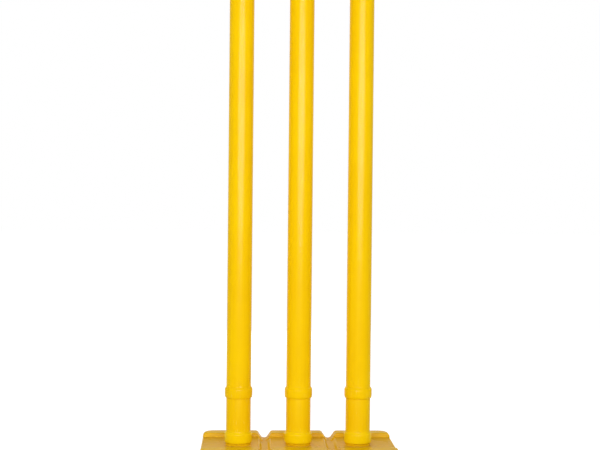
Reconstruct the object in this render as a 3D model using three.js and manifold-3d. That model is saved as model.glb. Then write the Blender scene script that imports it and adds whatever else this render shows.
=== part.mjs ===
// Cricket wicket on a free-standing moulded base: three plastic stumps and two bails.
// Units are millimetres, +Z is up and the row of stumps lies along X.
// The origin is the middle of the footprint, on the plane that the rubber feet stand on.

import * as THREE from 'three';
import { mergeVertices, toCreasedNormals } from 'three/addons/utils/BufferGeometryUtils.js';
import Module from 'manifold-3d';

const wasm = await Module();
wasm.setup();

// Driving dimensions of the wicket
const stumpHeight = 711;
const stumpPitch = 85.3;
const tubeDiameter = 35;
const tubeWall = 2;
const fitGap = 0.3;
const cutOverrun = 1;

// Bell mouths: the lower end of each tube, widened to take the piece below it
const bellDiameter = 39.3;
const bellLength = 17;
const bellRound = 4.4;
const bellDepth = 15;
const mouthLand = 0.5;
const socketTubeLift = 3.3;
const stumpTubeLift = 67;
const spigotLength = 30;
const spigotLead = 2;

// Top caps and the groove that the bails lie in
const capHeight = 12;
const capRim = 3;
const capPlugLength = 18;
const capPlugWall = 2;
const capCrownWall = 3;
const grooveWidth = 8;
const grooveDepth = 7;
const grooveFootRound = 0.8;

// Bails
const bailSpigotDiameter = 6.6;
const bailBarrelDiameter = 13;
const bailWaistDiameter = 10.4;
const bailEndPlay = 2.15;
const bailOuterSetback = 5.4;
const bailInnerSetback = 0.6;
const bailTipRound = 1.4;
const bailSwellShare = 1 / 3;

// Base: reach past the outer stumps, front and rear banks, the sunk deck between them and the
// two valleys that part it into three pads
const endReach = 52.7;
const baseDepth = 156;
const baseWallDraft = 0.5;
const baseCornerRadius = 16;
const rimRound = 5;
const deckHeight = 26;
const rimRise = 6;
const middlePadWidth = 76;
const valleyTopWidth = 19;
const valleyFloorWidth = 7;
const valleyDrop = 10.5;
const valleyEdgeRound = 3.5;
const valleyFootRound = 3;
const bankWidth = 26.5;
const deckWallLean = 1.2;
const deckFootRound = 1.5;
const deckEndRound = 1.6;
const deckValleyWidth = 18;
const deckValleyEase = 2.2;

// Inside of the base
const baseWall = 3;
const ribThickness = 2;
const bossFillet = 2.2;
const bossWall = 2.6;
const screwPostDiameter = 9;
const screwEndInset = 17;
const screwSideInset = 14;

// Floor plate, its screws and the rubber feet
const floorThickness = 3.5;
const screwShankDiameter = 3;
const screwHeadDiameter = 6.4;
const screwHeadHeight = 2;
const screwLength = 14;
const screwTipLength = 2.4;
const screwTipShare = 1 / 3;
const screwSlotWidth = 0.9;
const screwSlotDepth = 0.8;
const footProud = 2;
const footRecess = 1.2;
const footDiameter = 18;
const footRound = 0.7;
const footEndInset = 37.5;
const footSideInset = 22;

// Facets of the round shapes
const tubeFacets = 32;
const bailFacets = 20;
const smallFacets = 16;
const arcSteps = 3;
const domeSteps = 6;
const cornerSteps = 4;
const creaseAngle = Math.PI / 5;
const weldDistance = 1e-4;

// Sizes worked out from the driving dimensions
const tubeRadius = tubeDiameter / 2;
const boreRadius = tubeRadius - tubeWall;
const bellRadius = bellDiameter / 2;
const socketRadius = tubeRadius + fitGap;
const spigotRadius = boreRadius - fitGap;
const baseWidth = (stumpPitch + endReach) * 2;
const rimHeight = deckHeight + rimRise;
const valleyFloor = rimHeight - valleyDrop;
const padMiddleHalf = middlePadWidth / 2;
const padOuterStart = padMiddleHalf + valleyTopWidth;
const valleyOffset = padMiddleHalf + valleyTopWidth / 2;
const rimHalfWidth = baseWidth / 2 - baseWallDraft;
const rimHalfDepth = baseDepth / 2 - baseWallDraft;
const deckHalfDepth = rimHalfDepth - bankWidth;
const stumpPlaces = { left: -stumpPitch, middle: 0, right: stumpPitch };
const socketTubeBottom = deckHeight + socketTubeLift;
const stumpTubeBottom = deckHeight + stumpTubeLift;
const stumpTop = deckHeight + stumpHeight;
const stumpTubeTop = stumpTop - capHeight;
const socketTubeShoulder = stumpTubeBottom + bellDepth;
const bossShoulder = socketTubeBottom + bellDepth;
const grooveFloor = stumpTop - grooveDepth;
const bailAxisHeight = grooveFloor + bailSpigotDiameter / 2 + fitGap;
const floorTop = footProud + floorThickness;
const ribBottom = floorTop + fitGap;

// A mesh with shared corners, no empty triangles and its faces pointing out
function closedGeometry(geometry) {
  geometry.deleteAttribute('normal');
  geometry.deleteAttribute('uv');
  const merged = mergeVertices(geometry, weldDistance);
  const corners = merged.getIndex().array;
  const place = merged.getAttribute('position');
  const kept = [];
  const a = new THREE.Vector3();
  const b = new THREE.Vector3();
  const c = new THREE.Vector3();
  let volume = 0;
  for (let i = 0; i < corners.length; i += 3) {
    const [p, q, r] = [corners[i], corners[i + 1], corners[i + 2]];
    if (p !== q && q !== r && r !== p) {
      kept.push([p, q, r]);
      a.fromBufferAttribute(place, p);
      b.fromBufferAttribute(place, q);
      c.fromBufferAttribute(place, r);
      volume += a.dot(b.cross(c));
    }
  }
  const turned = volume < 0 ? kept.map(([p, q, r]) => [p, r, q]) : kept;
  merged.setIndex(turned.flat());
  return merged;
}

// A solid that can be joined to others or cut by them
function solidOf(geometry) {
  const closed = closedGeometry(geometry);
  return new wasm.Manifold(new wasm.Mesh({
    numProp: 3,
    vertProperties: Float32Array.from(closed.getAttribute('position').array),
    triVerts: Uint32Array.from(closed.getIndex().array),
  }));
}

function geometryOf(solid) {
  const mesh = solid.getMesh();
  const geometry = new THREE.BufferGeometry();
  geometry.setAttribute('position', new THREE.BufferAttribute(mesh.vertProperties, 3));
  geometry.setIndex(new THREE.BufferAttribute(mesh.triVerts, 1));
  return geometry;
}

// Points of a quarter ellipse about a centre, from one angle to another, in quarter turns
function quarter(centreX, centreY, radiusX, radiusY, fromTurn, toTurn, steps = arcSteps) {
  const points = [];
  for (let i = 0; i <= steps; i += 1) {
    const angle = (fromTurn + (toTurn - fromTurn) * (i / steps)) * Math.PI / 2;
    points.push([centreX + radiusX * Math.cos(angle), centreY + radiusY * Math.sin(angle)]);
  }
  return points;
}

// A turned piece about the Z axis, from [radius, height] points
function turned(points, facets) {
  const profile = points.map(([radius, height]) => new THREE.Vector2(Math.max(radius, 0), height));
  const geometry = new THREE.LatheGeometry(profile, facets);
  geometry.rotateX(Math.PI / 2);
  return geometry;
}

function turnedLoop(points, facets) {
  return turned([...points, points[0]], facets);
}

function cylinder(radius, bottom, top, facets) {
  return turned([[0, bottom], [radius, bottom], [radius, top], [0, top]], facets);
}

function box(lowX, highX, lowY, highY, lowZ, highZ) {
  const geometry = new THREE.BoxGeometry(highX - lowX, highY - lowY, highZ - lowZ);
  geometry.translate((lowX + highX) / 2, (lowY + highY) / 2, (lowZ + highZ) / 2);
  return geometry;
}

// Outline of a rectangle with round corners, as points that run anticlockwise
function roundedOutline(lowX, highX, lowY, highY, radius) {
  const corners = [
    [highX - radius, highY - radius, 0],
    [lowX + radius, highY - radius, 1],
    [lowX + radius, lowY + radius, 2],
    [highX - radius, lowY + radius, 3],
  ];
  const points = [];
  for (const [centreX, centreY, turn] of corners) {
    for (let i = 0; i <= cornerSteps; i += 1) {
      const angle = (turn + i / cornerSteps) * Math.PI / 2;
      const x = centreX + radius * Math.cos(angle);
      const y = centreY + radius * Math.sin(angle);
      points.push(new THREE.Vector2(x, y));
    }
  }
  return points;
}

// A block whose round-cornered outline grows or shrinks with height.
// Each layer is [inset from the full outline, height], from the bottom up.
function layeredBlock(lowX, highX, lowY, highY, radius, layers) {
  const rings = layers.map(([inset, height]) => {
    const outline = roundedOutline(lowX + inset, highX - inset, lowY + inset, highY - inset,
      radius - inset);
    return outline.map((point) => new THREE.Vector3(point.x, point.y, height));
  });
  const count = rings[0].length;
  const corners = [];
  for (let layer = 0; layer + 1 < rings.length; layer += 1) {
    for (let i = 0; i < count; i += 1) {
      const lower = layer * count;
      const upper = lower + count;
      const next = (i + 1) % count;
      corners.push(lower + i, lower + next, upper + next, lower + i, upper + next, upper + i);
    }
  }
  const top = (rings.length - 1) * count;
  const lidOutline = rings[0].map((point) => new THREE.Vector2(point.x, point.y));
  for (const [p, q, r] of THREE.ShapeUtils.triangulateShape(lidOutline, [])) {
    corners.push(r, q, p, top + p, top + q, top + r);
  }
  const geometry = new THREE.BufferGeometry();
  geometry.setFromPoints(rings.flat());
  geometry.setIndex(corners);
  return geometry;
}

// Outer side of a bell mouth, from the mouth's edge up to the plain tube
function bellOutside(bottom) {
  const land = socketRadius + mouthLand;
  return [
    [socketRadius, bottom],
    ...quarter(land, bottom + bellRound, bellRadius - land, bellRound, -1, 0),
    ...quarter(tubeRadius, bottom + bellLength - bellRound, bellRadius - tubeRadius, bellRound, 0, 1),
  ];
}

// Inner side of a bell mouth, from the tube's bore down to the mouth's edge
function bellInside(bottom) {
  return [
    [boreRadius, bottom + bellDepth + fitGap],
    [socketRadius, bottom + bellDepth + fitGap],
  ];
}

// Short lower tube: a bell over the boss of the base, and a spigot at the top for the stump
function socketTube() {
  const spigotTop = socketTubeShoulder + spigotLength;
  const spigotBore = spigotRadius - tubeWall;
  return turnedLoop([
    ...bellOutside(socketTubeBottom),
    [tubeRadius, socketTubeShoulder],
    [spigotRadius, socketTubeShoulder],
    [spigotRadius, spigotTop - spigotLead],
    [spigotRadius - tubeWall / 2, spigotTop],
    [spigotBore, spigotTop],
    [spigotBore, socketTubeShoulder - tubeWall],
    [boreRadius, socketTubeShoulder - tubeWall * 2],
    ...bellInside(socketTubeBottom),
  ], tubeFacets);
}

// Long stump tube: a bell over the top of the socket tube, then plain up to the cap
function stumpTube() {
  return turnedLoop([
    ...bellOutside(stumpTubeBottom),
    [tubeRadius, stumpTubeTop],
    [boreRadius, stumpTubeTop],
    ...bellInside(stumpTubeBottom),
  ], tubeFacets);
}

// Bar along X that cuts the bail groove: a flat floor, rounded feet and upright sides
function grooveCutter() {
  const half = grooveWidth / 2;
  const outline = new THREE.Shape();
  outline.moveTo(-half, grooveDepth + cutOverrun);
  outline.lineTo(-half, grooveFootRound);
  outline.quadraticCurveTo(-half, 0, -half + grooveFootRound, 0);
  outline.lineTo(half - grooveFootRound, 0);
  outline.quadraticCurveTo(half, 0, half, grooveFootRound);
  outline.lineTo(half, grooveDepth + cutOverrun);
  const length = tubeDiameter + cutOverrun * 2;
  const geometry = new THREE.ExtrudeGeometry(outline, {
    depth: length,
    bevelEnabled: false,
    curveSegments: arcSteps,
  });
  geometry.translate(0, 0, -length / 2);
  geometry.rotateX(Math.PI / 2);
  geometry.rotateZ(Math.PI / 2);
  geometry.translate(0, 0, grooveFloor);
  return geometry;
}

// Domed cap with a plug that goes down into the tube, and the groove across its crown
function stumpCap() {
  const rimBottom = stumpTubeTop + fitGap;
  const domeStart = stumpTubeTop + capRim;
  const plugRadius = boreRadius - fitGap;
  const plugBore = plugRadius - capPlugWall;
  const plugBottom = stumpTubeTop - capPlugLength;
  const crown = turned([
    [0, grooveFloor - capCrownWall],
    [plugBore, grooveFloor - capCrownWall],
    [plugBore, plugBottom],
    [plugRadius, plugBottom],
    [plugRadius, rimBottom],
    [tubeRadius, rimBottom],
    ...quarter(0, domeStart, tubeRadius, capHeight - capRim, 0, 1, domeSteps),
  ], tubeFacets);
  return geometryOf(solidOf(crown).subtract(solidOf(grooveCutter())));
}

// Bail: a turned barrel between two stumps, a long spigot outwards and a short one inwards
function bail() {
  const barrelHalf = (stumpPitch - tubeDiameter) / 2 - bailEndPlay;
  const spigotR = bailSpigotDiameter / 2;
  const barrelR = bailBarrelDiameter / 2;
  const waistR = bailWaistDiameter / 2;
  const inner = barrelHalf + bailEndPlay + tubeRadius - bailInnerSetback;
  const outer = -(barrelHalf + bailEndPlay + tubeDiameter - bailOuterSetback);
  const neck = (waistR - spigotR) / 2;
  const swell = barrelHalf * bailSwellShare;
  return turned([
    [0, outer],
    ...quarter(spigotR - bailTipRound, outer + bailTipRound, bailTipRound, bailTipRound, -1, 0),
    [spigotR, -barrelHalf - neck],
    [waistR, -barrelHalf + neck],
    [barrelR, -barrelHalf + swell],
    [barrelR, -swell],
    [waistR, -swell / 2],
    [waistR, swell / 2],
    [barrelR, swell],
    [barrelR, barrelHalf - swell],
    [waistR, barrelHalf - neck],
    [spigotR, barrelHalf + neck],
    ...quarter(spigotR - bailTipRound, inner - bailTipRound, bailTipRound, bailTipRound, 0, 1),
    [0, inner],
  ], bailFacets);
}

// Bar along Y with the valley's section: round shoulders at the rims and a round floor
function valleyCutter() {
  const topHalf = valleyTopWidth / 2;
  const floorHalf = valleyFloorWidth / 2;
  const top = rimHeight + cutOverrun;
  const outline = new THREE.Shape();
  outline.moveTo(-topHalf - valleyEdgeRound, top);
  outline.lineTo(-topHalf - valleyEdgeRound, rimHeight);
  outline.quadraticCurveTo(-topHalf, rimHeight, -topHalf + valleyEdgeRound / 2,
    rimHeight - valleyEdgeRound);
  outline.lineTo(-floorHalf - valleyFootRound / 2, valleyFloor + valleyFootRound);
  outline.quadraticCurveTo(-floorHalf, valleyFloor, 0, valleyFloor);
  outline.quadraticCurveTo(floorHalf, valleyFloor, floorHalf + valleyFootRound / 2,
    valleyFloor + valleyFootRound);
  outline.lineTo(topHalf - valleyEdgeRound / 2, rimHeight - valleyEdgeRound);
  outline.quadraticCurveTo(topHalf, rimHeight, topHalf + valleyEdgeRound, rimHeight);
  outline.lineTo(topHalf + valleyEdgeRound, top);
  const length = baseDepth + cutOverrun * 2;
  const geometry = new THREE.ExtrudeGeometry(outline, {
    depth: length,
    bevelEnabled: false,
    curveSegments: arcSteps,
  });
  geometry.translate(0, 0, -length / 2);
  geometry.rotateX(Math.PI / 2);
  return geometry;
}

// Bar along X that sinks the deck between the banks: leaning walls, rounded feet and edges
function deckCutter() {
  const edge = deckHalfDepth + deckFootRound;
  const foot = deckHalfDepth - deckWallLean;
  const top = rimHeight + cutOverrun;
  const outline = new THREE.Shape();
  outline.moveTo(edge, -top);
  outline.lineTo(edge, -rimHeight);
  outline.quadraticCurveTo(deckHalfDepth, -rimHeight, deckHalfDepth, deckFootRound - rimHeight);
  outline.lineTo(foot, -deckHeight - deckFootRound);
  outline.quadraticCurveTo(foot, -deckHeight, foot - deckFootRound, -deckHeight);
  outline.lineTo(deckFootRound - foot, -deckHeight);
  outline.quadraticCurveTo(-foot, -deckHeight, -foot, -deckHeight - deckFootRound);
  outline.lineTo(-deckHalfDepth, deckFootRound - rimHeight);
  outline.quadraticCurveTo(-deckHalfDepth, -rimHeight, -edge, -rimHeight);
  outline.lineTo(-edge, -top);
  const length = baseWidth + cutOverrun * 2;
  const geometry = new THREE.ExtrudeGeometry(outline, {
    depth: length,
    bevelEnabled: false,
    curveSegments: arcSteps,
  });
  geometry.translate(0, 0, -length / 2);
  geometry.rotateX(-Math.PI / 2);
  geometry.rotateZ(-Math.PI / 2);
  return geometry;
}

// Bar along Y that widens a valley where it crosses the deck
function deckValleyCutter() {
  const topHalf = deckValleyWidth / 2;
  const floorHalf = valleyFloorWidth / 2;
  const outline = new THREE.Shape();
  outline.moveTo(-topHalf, deckHeight + cutOverrun);
  outline.lineTo(-topHalf, deckHeight);
  outline.bezierCurveTo(-topHalf + deckValleyEase, deckHeight, -floorHalf - deckValleyEase,
    valleyFloor, -floorHalf, valleyFloor);
  outline.lineTo(floorHalf, valleyFloor);
  outline.bezierCurveTo(floorHalf + deckValleyEase, valleyFloor, topHalf - deckValleyEase,
    deckHeight, topHalf, deckHeight);
  outline.lineTo(topHalf, deckHeight + cutOverrun);
  return deckBar(outline);
}

// Bar along Y that rounds the deck's edge at the positive end of the base
function deckEndCutter() {
  const end = rimHalfWidth;
  const out = end + baseWallDraft + cutOverrun;
  const outline = new THREE.Shape();
  outline.moveTo(end - deckEndRound, deckHeight + cutOverrun);
  outline.lineTo(end - deckEndRound, deckHeight);
  outline.quadraticCurveTo(end, deckHeight, end + baseWallDraft, deckHeight - deckEndRound);
  outline.lineTo(out, deckHeight - deckEndRound);
  outline.lineTo(out, deckHeight + cutOverrun);
  return deckBar(outline);
}

// A section of X and height, carried along Y between the feet of the banks
function deckBar(outline) {
  const length = (deckHalfDepth - deckWallLean) * 2;
  const geometry = new THREE.ExtrudeGeometry(outline, {
    depth: length,
    bevelEnabled: false,
    curveSegments: arcSteps * 2,
  });
  geometry.translate(0, 0, -length / 2);
  geometry.rotateX(Math.PI / 2);
  return geometry;
}

// Boss under each stump: a stepped, hollow stub that the socket tube's bell slides over
function bossOutside() {
  const top = bossShoulder + spigotLength;
  return turned([
    [0, deckHeight - baseWall],
    [tubeRadius + bossFillet, deckHeight - baseWall],
    ...quarter(tubeRadius + bossFillet, deckHeight + bossFillet, bossFillet, bossFillet, 3, 2),
    [tubeRadius, bossShoulder],
    [spigotRadius, bossShoulder],
    [spigotRadius, top - spigotLead],
    [spigotRadius - bossWall / 2, top],
    [0, top],
  ], tubeFacets);
}

function bossBore() {
  const top = bossShoulder + spigotLength - bossWall;
  return cylinder(spigotRadius - bossWall, footProud - cutOverrun, top, smallFacets);
}

// Screw places: three along each long side of the base
const screwXs = [-(baseWidth / 2 - screwEndInset), 0, baseWidth / 2 - screwEndInset];
const screwYs = [-(baseDepth / 2 - screwSideInset), baseDepth / 2 - screwSideInset];
const screwPlaces = screwYs.flatMap((y) => screwXs.map((x) => [x, y]));

// Foot places: one near each corner
const footX = baseWidth / 2 - footEndInset;
const footY = baseDepth / 2 - footSideInset;
const footPlaces = {
  left_front: [-footX, -footY],
  right_front: [footX, -footY],
  left_rear: [-footX, footY],
  right_rear: [footX, footY],
};

function moved(geometry, x, y, z) {
  geometry.translate(x, y, z);
  return geometry;
}

// Moulded base: three pads between two banks on one hollow shell, with ribs, posts and bosses
function baseShell() {
  const halfX = baseWidth / 2;
  const halfY = baseDepth / 2;
  let shell = solidOf(layeredBlock(-halfX, halfX, -halfY, halfY, baseCornerRadius, [
    [0, footProud],
    ...quarter(baseWallDraft + rimRound, rimHeight - rimRound, rimRound, rimRound, 2, 1),
  ]));
  const innerX = halfX - baseWall - baseWallDraft;
  const innerY = halfY - baseWall - baseWallDraft;
  const innerRadius = baseCornerRadius - baseWall - baseWallDraft;
  const low = footProud - cutOverrun;
  const padRanges = [
    [-innerX, -padOuterStart - baseWall],
    [-padMiddleHalf + baseWall, padMiddleHalf - baseWall],
    [padOuterStart + baseWall, innerX],
  ];
  for (const [lowX, highX] of padRanges) {
    const room = layeredBlock(lowX, highX, -innerY, innerY, innerRadius, [
      [0, low],
      [0, deckHeight - baseWall],
    ]);
    shell = shell.subtract(solidOf(room));
  }
  const hall = layeredBlock(-innerX, innerX, -innerY, innerY, innerRadius, [
    [0, low],
    [0, valleyFloor - baseWall],
  ]);
  shell = shell.subtract(solidOf(hall));
  const ceiling = deckHeight - baseWall / 2;
  const ribHalf = ribThickness / 2;
  const reachX = innerX + baseWall / 2;
  const reachY = innerY + baseWall / 2;
  shell = shell.add(solidOf(box(-reachX, reachX, -ribHalf, ribHalf, ribBottom, ceiling)));
  for (const x of Object.values(stumpPlaces)) {
    const rib = box(x - ribHalf, x + ribHalf, -reachY, reachY, ribBottom, ceiling);
    shell = shell.add(solidOf(rib));
    const well = cylinder(tubeRadius, ribBottom, ceiling, tubeFacets);
    shell = shell.add(solidOf(moved(well, x, 0, 0)));
  }
  for (const [x, y] of screwPlaces) {
    const post = cylinder(screwPostDiameter / 2, ribBottom, ceiling, smallFacets);
    shell = shell.add(solidOf(moved(post, x, y, 0)));
  }
  shell = shell.subtract(solidOf(deckCutter()));
  const deckEnd = solidOf(deckEndCutter());
  shell = shell.subtract(deckEnd).subtract(deckEnd.mirror([1, 0, 0]));
  for (const x of [-valleyOffset, valleyOffset]) {
    shell = shell.subtract(solidOf(moved(valleyCutter(), x, 0, 0)));
    shell = shell.subtract(solidOf(moved(deckValleyCutter(), x, 0, 0)));
  }
  for (const x of Object.values(stumpPlaces)) {
    shell = shell.add(solidOf(moved(bossOutside(), x, 0, 0)));
    shell = shell.subtract(solidOf(moved(bossBore(), x, 0, 0)));
  }
  const pilotTop = footProud + screwLength + fitGap * 2;
  for (const [x, y] of screwPlaces) {
    const pilot = cylinder(screwShankDiameter / 2 + fitGap, low, pilotTop, smallFacets);
    shell = shell.subtract(solidOf(moved(pilot, x, y, 0)));
  }
  return geometryOf(shell);
}

// Floor plate let into the underside, with holes for the screws and seats for the feet
function baseFloor() {
  const edge = baseWall + baseWallDraft + fitGap;
  const halfX = baseWidth / 2 - edge;
  const halfY = baseDepth / 2 - edge;
  let plate = solidOf(layeredBlock(-halfX, halfX, -halfY, halfY, baseCornerRadius - edge, [
    [0, footProud],
    [0, floorTop],
  ]));
  const low = footProud - cutOverrun;
  for (const [x, y] of screwPlaces) {
    const seatTop = footProud + screwHeadHeight + fitGap * 2;
    const shank = cylinder(screwShankDiameter / 2 + fitGap, low, floorTop + cutOverrun, smallFacets);
    const seat = cylinder(screwHeadDiameter / 2 + fitGap, low, seatTop, smallFacets);
    plate = plate.subtract(solidOf(moved(shank, x, y, 0)));
    plate = plate.subtract(solidOf(moved(seat, x, y, 0)));
  }
  for (const [x, y] of Object.values(footPlaces)) {
    const seat = cylinder(footDiameter / 2 + fitGap, low, footProud + footRecess, smallFacets);
    plate = plate.subtract(solidOf(moved(seat, x, y, 0)));
  }
  return geometryOf(plate);
}

// Slotted screw, head down, driven up into a post of the base
function floorScrew() {
  const headBottom = footProud + fitGap;
  const headTop = headBottom + screwHeadHeight;
  const tip = footProud + screwLength;
  const shankR = screwShankDiameter / 2;
  const headR = screwHeadDiameter / 2;
  const body = turned([
    [0, headBottom],
    [headR, headBottom],
    [headR, headTop],
    [shankR, headTop],
    [shankR, tip - screwTipLength],
    [shankR * screwTipShare, tip],
    [0, tip],
  ], smallFacets);
  const slotHalf = screwSlotWidth / 2;
  const reach = headR + cutOverrun;
  const slotTop = headBottom + screwSlotDepth;
  const slot = box(-slotHalf, slotHalf, -reach, reach, headBottom - cutOverrun, slotTop);
  return geometryOf(solidOf(body).subtract(solidOf(slot)));
}

// Round rubber foot, let into the floor plate and standing a little proud of it
function rubberFoot() {
  const radius = footDiameter / 2;
  const top = footProud + footRecess - fitGap;
  return turned([
    [0, 0],
    ...quarter(radius - footRound, footRound, footRound, footRound, 3, 4),
    [radius, top],
    [0, top],
  ], smallFacets);
}

// Colours and finishes
const stumpPlastic = { color: 0xf8ca05, roughness: 0.32, metalness: 0 };
const basePlastic = { color: 0xe4ac1c, roughness: 0.38, metalness: 0 };
const floorPlastic = { color: 0xd69f1a, roughness: 0.55, metalness: 0 };
const screwSteel = { color: 0x9a9c9f, roughness: 0.35, metalness: 1 };
const footRubber = { color: 0x1d1d1f, roughness: 0.85, metalness: 0 };

const wicket = new THREE.Group();

function place(name, geometry, finish, x, y, z) {
  const shaded = toCreasedNormals(closedGeometry(geometry), creaseAngle);
  const mesh = new THREE.Mesh(shaded, new THREE.MeshStandardMaterial(finish));
  mesh.name = name;
  mesh.position.set(x, y, z);
  wicket.add(mesh);
  return mesh;
}

place('base_shell', baseShell(), basePlastic, 0, 0, 0);
place('base_floor', baseFloor(), floorPlastic, 0, 0, 0);

screwPlaces.forEach(([x, y], index) => {
  place(`floor_screw_${index + 1}`, floorScrew(), screwSteel, x, y, 0);
});

for (const [corner, [x, y]] of Object.entries(footPlaces)) {
  place(`rubber_foot_${corner}`, rubberFoot(), footRubber, x, y, 0);
}

for (const [side, x] of Object.entries(stumpPlaces)) {
  place(`${side}_socket_tube`, socketTube(), stumpPlastic, x, 0, 0);
  place(`${side}_stump_tube`, stumpTube(), stumpPlastic, x, 0, 0);
  place(`${side}_stump_cap`, stumpCap(), stumpPlastic, x, 0, 0);
}

const leftBail = place('left_bail', bail(), stumpPlastic, -stumpPitch / 2, 0, bailAxisHeight);
leftBail.rotation.y = Math.PI / 2;
const rightBail = place('right_bail', bail(), stumpPlastic, stumpPitch / 2, 0, bailAxisHeight);
rightBail.rotation.y = -Math.PI / 2;

export default wicket;
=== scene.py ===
import math

import bpy
import numpy as np
from mathutils import Matrix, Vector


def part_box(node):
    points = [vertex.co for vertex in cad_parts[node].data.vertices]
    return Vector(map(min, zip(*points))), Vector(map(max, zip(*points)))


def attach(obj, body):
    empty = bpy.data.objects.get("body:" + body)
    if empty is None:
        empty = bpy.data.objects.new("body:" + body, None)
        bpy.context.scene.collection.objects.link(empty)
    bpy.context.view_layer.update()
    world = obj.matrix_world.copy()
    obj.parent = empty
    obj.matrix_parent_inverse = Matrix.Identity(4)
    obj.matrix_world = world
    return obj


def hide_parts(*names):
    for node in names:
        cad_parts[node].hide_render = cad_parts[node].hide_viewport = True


bl_info = {
    "name": "Cricket wicket on a moulded base",
    "version": (1, 0, 0),
    "blender": (4, 5, 0),
    "location": "View3D > Sidebar > Wicket",
    "description": "Fine surfaces and plastics for tube stumps, grooved caps, bails and their base",
    "category": "Add Mesh",
}

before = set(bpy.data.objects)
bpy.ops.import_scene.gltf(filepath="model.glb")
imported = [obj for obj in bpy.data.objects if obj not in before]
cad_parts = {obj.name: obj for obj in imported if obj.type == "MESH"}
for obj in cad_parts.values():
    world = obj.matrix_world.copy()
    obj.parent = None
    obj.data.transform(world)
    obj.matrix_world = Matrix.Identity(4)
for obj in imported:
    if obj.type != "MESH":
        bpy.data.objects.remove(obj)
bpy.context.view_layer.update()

SIDES = ("left", "middle", "right")
TUBE_SEGMENTS = 96
SMALL_SEGMENTS = 48
QUARTER = math.pi / 2
SHARP_ANGLE = math.radians(38)
WHITE = (1, 1, 1, 1)

# Metres between points or lines that count as one, and at most between two grid lines
SAME_POINT = 1e-7
CLOSEST_LINES = 4e-5
WIDEST_LINES = 0.004

# Decimals and slack of grid lines, and a length that keeps a division by zero away
GRID_DECIMALS = 7
GRID_SLACK = 1e-9
NOT_ZERO = 1e-12

# Shares of the way down the base's outer wall where rings of points lie
WALL_RINGS = (0.25, 0.5, 0.75)

# Groove in a foot's tread: radius over the foot's, and half width over the edge's rounding
TREAD_GROOVE = 0.62
TREAD_HALF_WIDTH = 1.5

# Metres: where rubs near the joints and the painted light at the tubes' feet fade out, dirt and
# painted reflection above the decks, rubs below the banks' top
JOINT_FADE = (0.100, 0.150)
PAINTED_FOOT_LIGHT_FADE = (0.034, 0.056)
DUST_AND_SHEEN_FADE = (0.0004, 0.0012)
BANK_RUB = 0.0015


# Places read from the frame

def box_of(node):
    low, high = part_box(node)
    return np.array(low), np.array(high)


def middle_of(node):
    return sum(box_of(node)) / 2


def half_of(node):
    low, high = box_of(node)
    return (high - low) / 2


# Sizes and colours that a user would change

def number(name, description, default, **limits):
    return bpy.props.FloatProperty(
        name=name, description=description, default=default, **limits)


def length(name, description, default):
    return number(name, description, default,
                  min=0, precision=5, unit="LENGTH", subtype="DISTANCE")


def share(name, description, default):
    return number(name, description, default, min=0, max=1, subtype="FACTOR")


def angle(name, description, degrees):
    return number(name, description, math.radians(degrees), subtype="ANGLE")


def panel_place(name, lamps, default):
    return bpy.props.FloatVectorProperty(
        name=name, description=f"Left, right, foot, top and distance of the {lamps}",
        size=5, default=default, unit="LENGTH")


def tint(name, description, default):
    return bpy.props.FloatVectorProperty(
        name=name, description=description, default=default, size=3, min=0, max=1,
        subtype="COLOR")


class WicketTubeSizes(bpy.types.PropertyGroup):
    wall: length("Wall", "Wall of each plastic tube", 0.002)
    gap: length("Gap", "Clearance between a bell and what it slides over", 0.0003)
    bell_length: length("Bell length", "Height of the widened mouth", 0.017)
    bell_round: length("Bell rounding", "Height of the rounded ends of the bell", 0.0052)
    foot_round: length("Foot rounding", "Height of the rounded mouth at the base", 0.0026)
    bell_depth: length("Bell depth", "Depth of the bell's seat", 0.015)
    mouth_land: length("Mouth land", "Flat edge of the bell's mouth", 0.0005)
    spigot_length: length("Spigot length", "Length that plugs into the tube above", 0.03)
    spigot_lead: length("Spigot lead", "Length of the tapered tip of a spigot", 0.002)
    edge_round: length("Edge rounding", "Rounding of cut tube ends", 0.0004)


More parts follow.
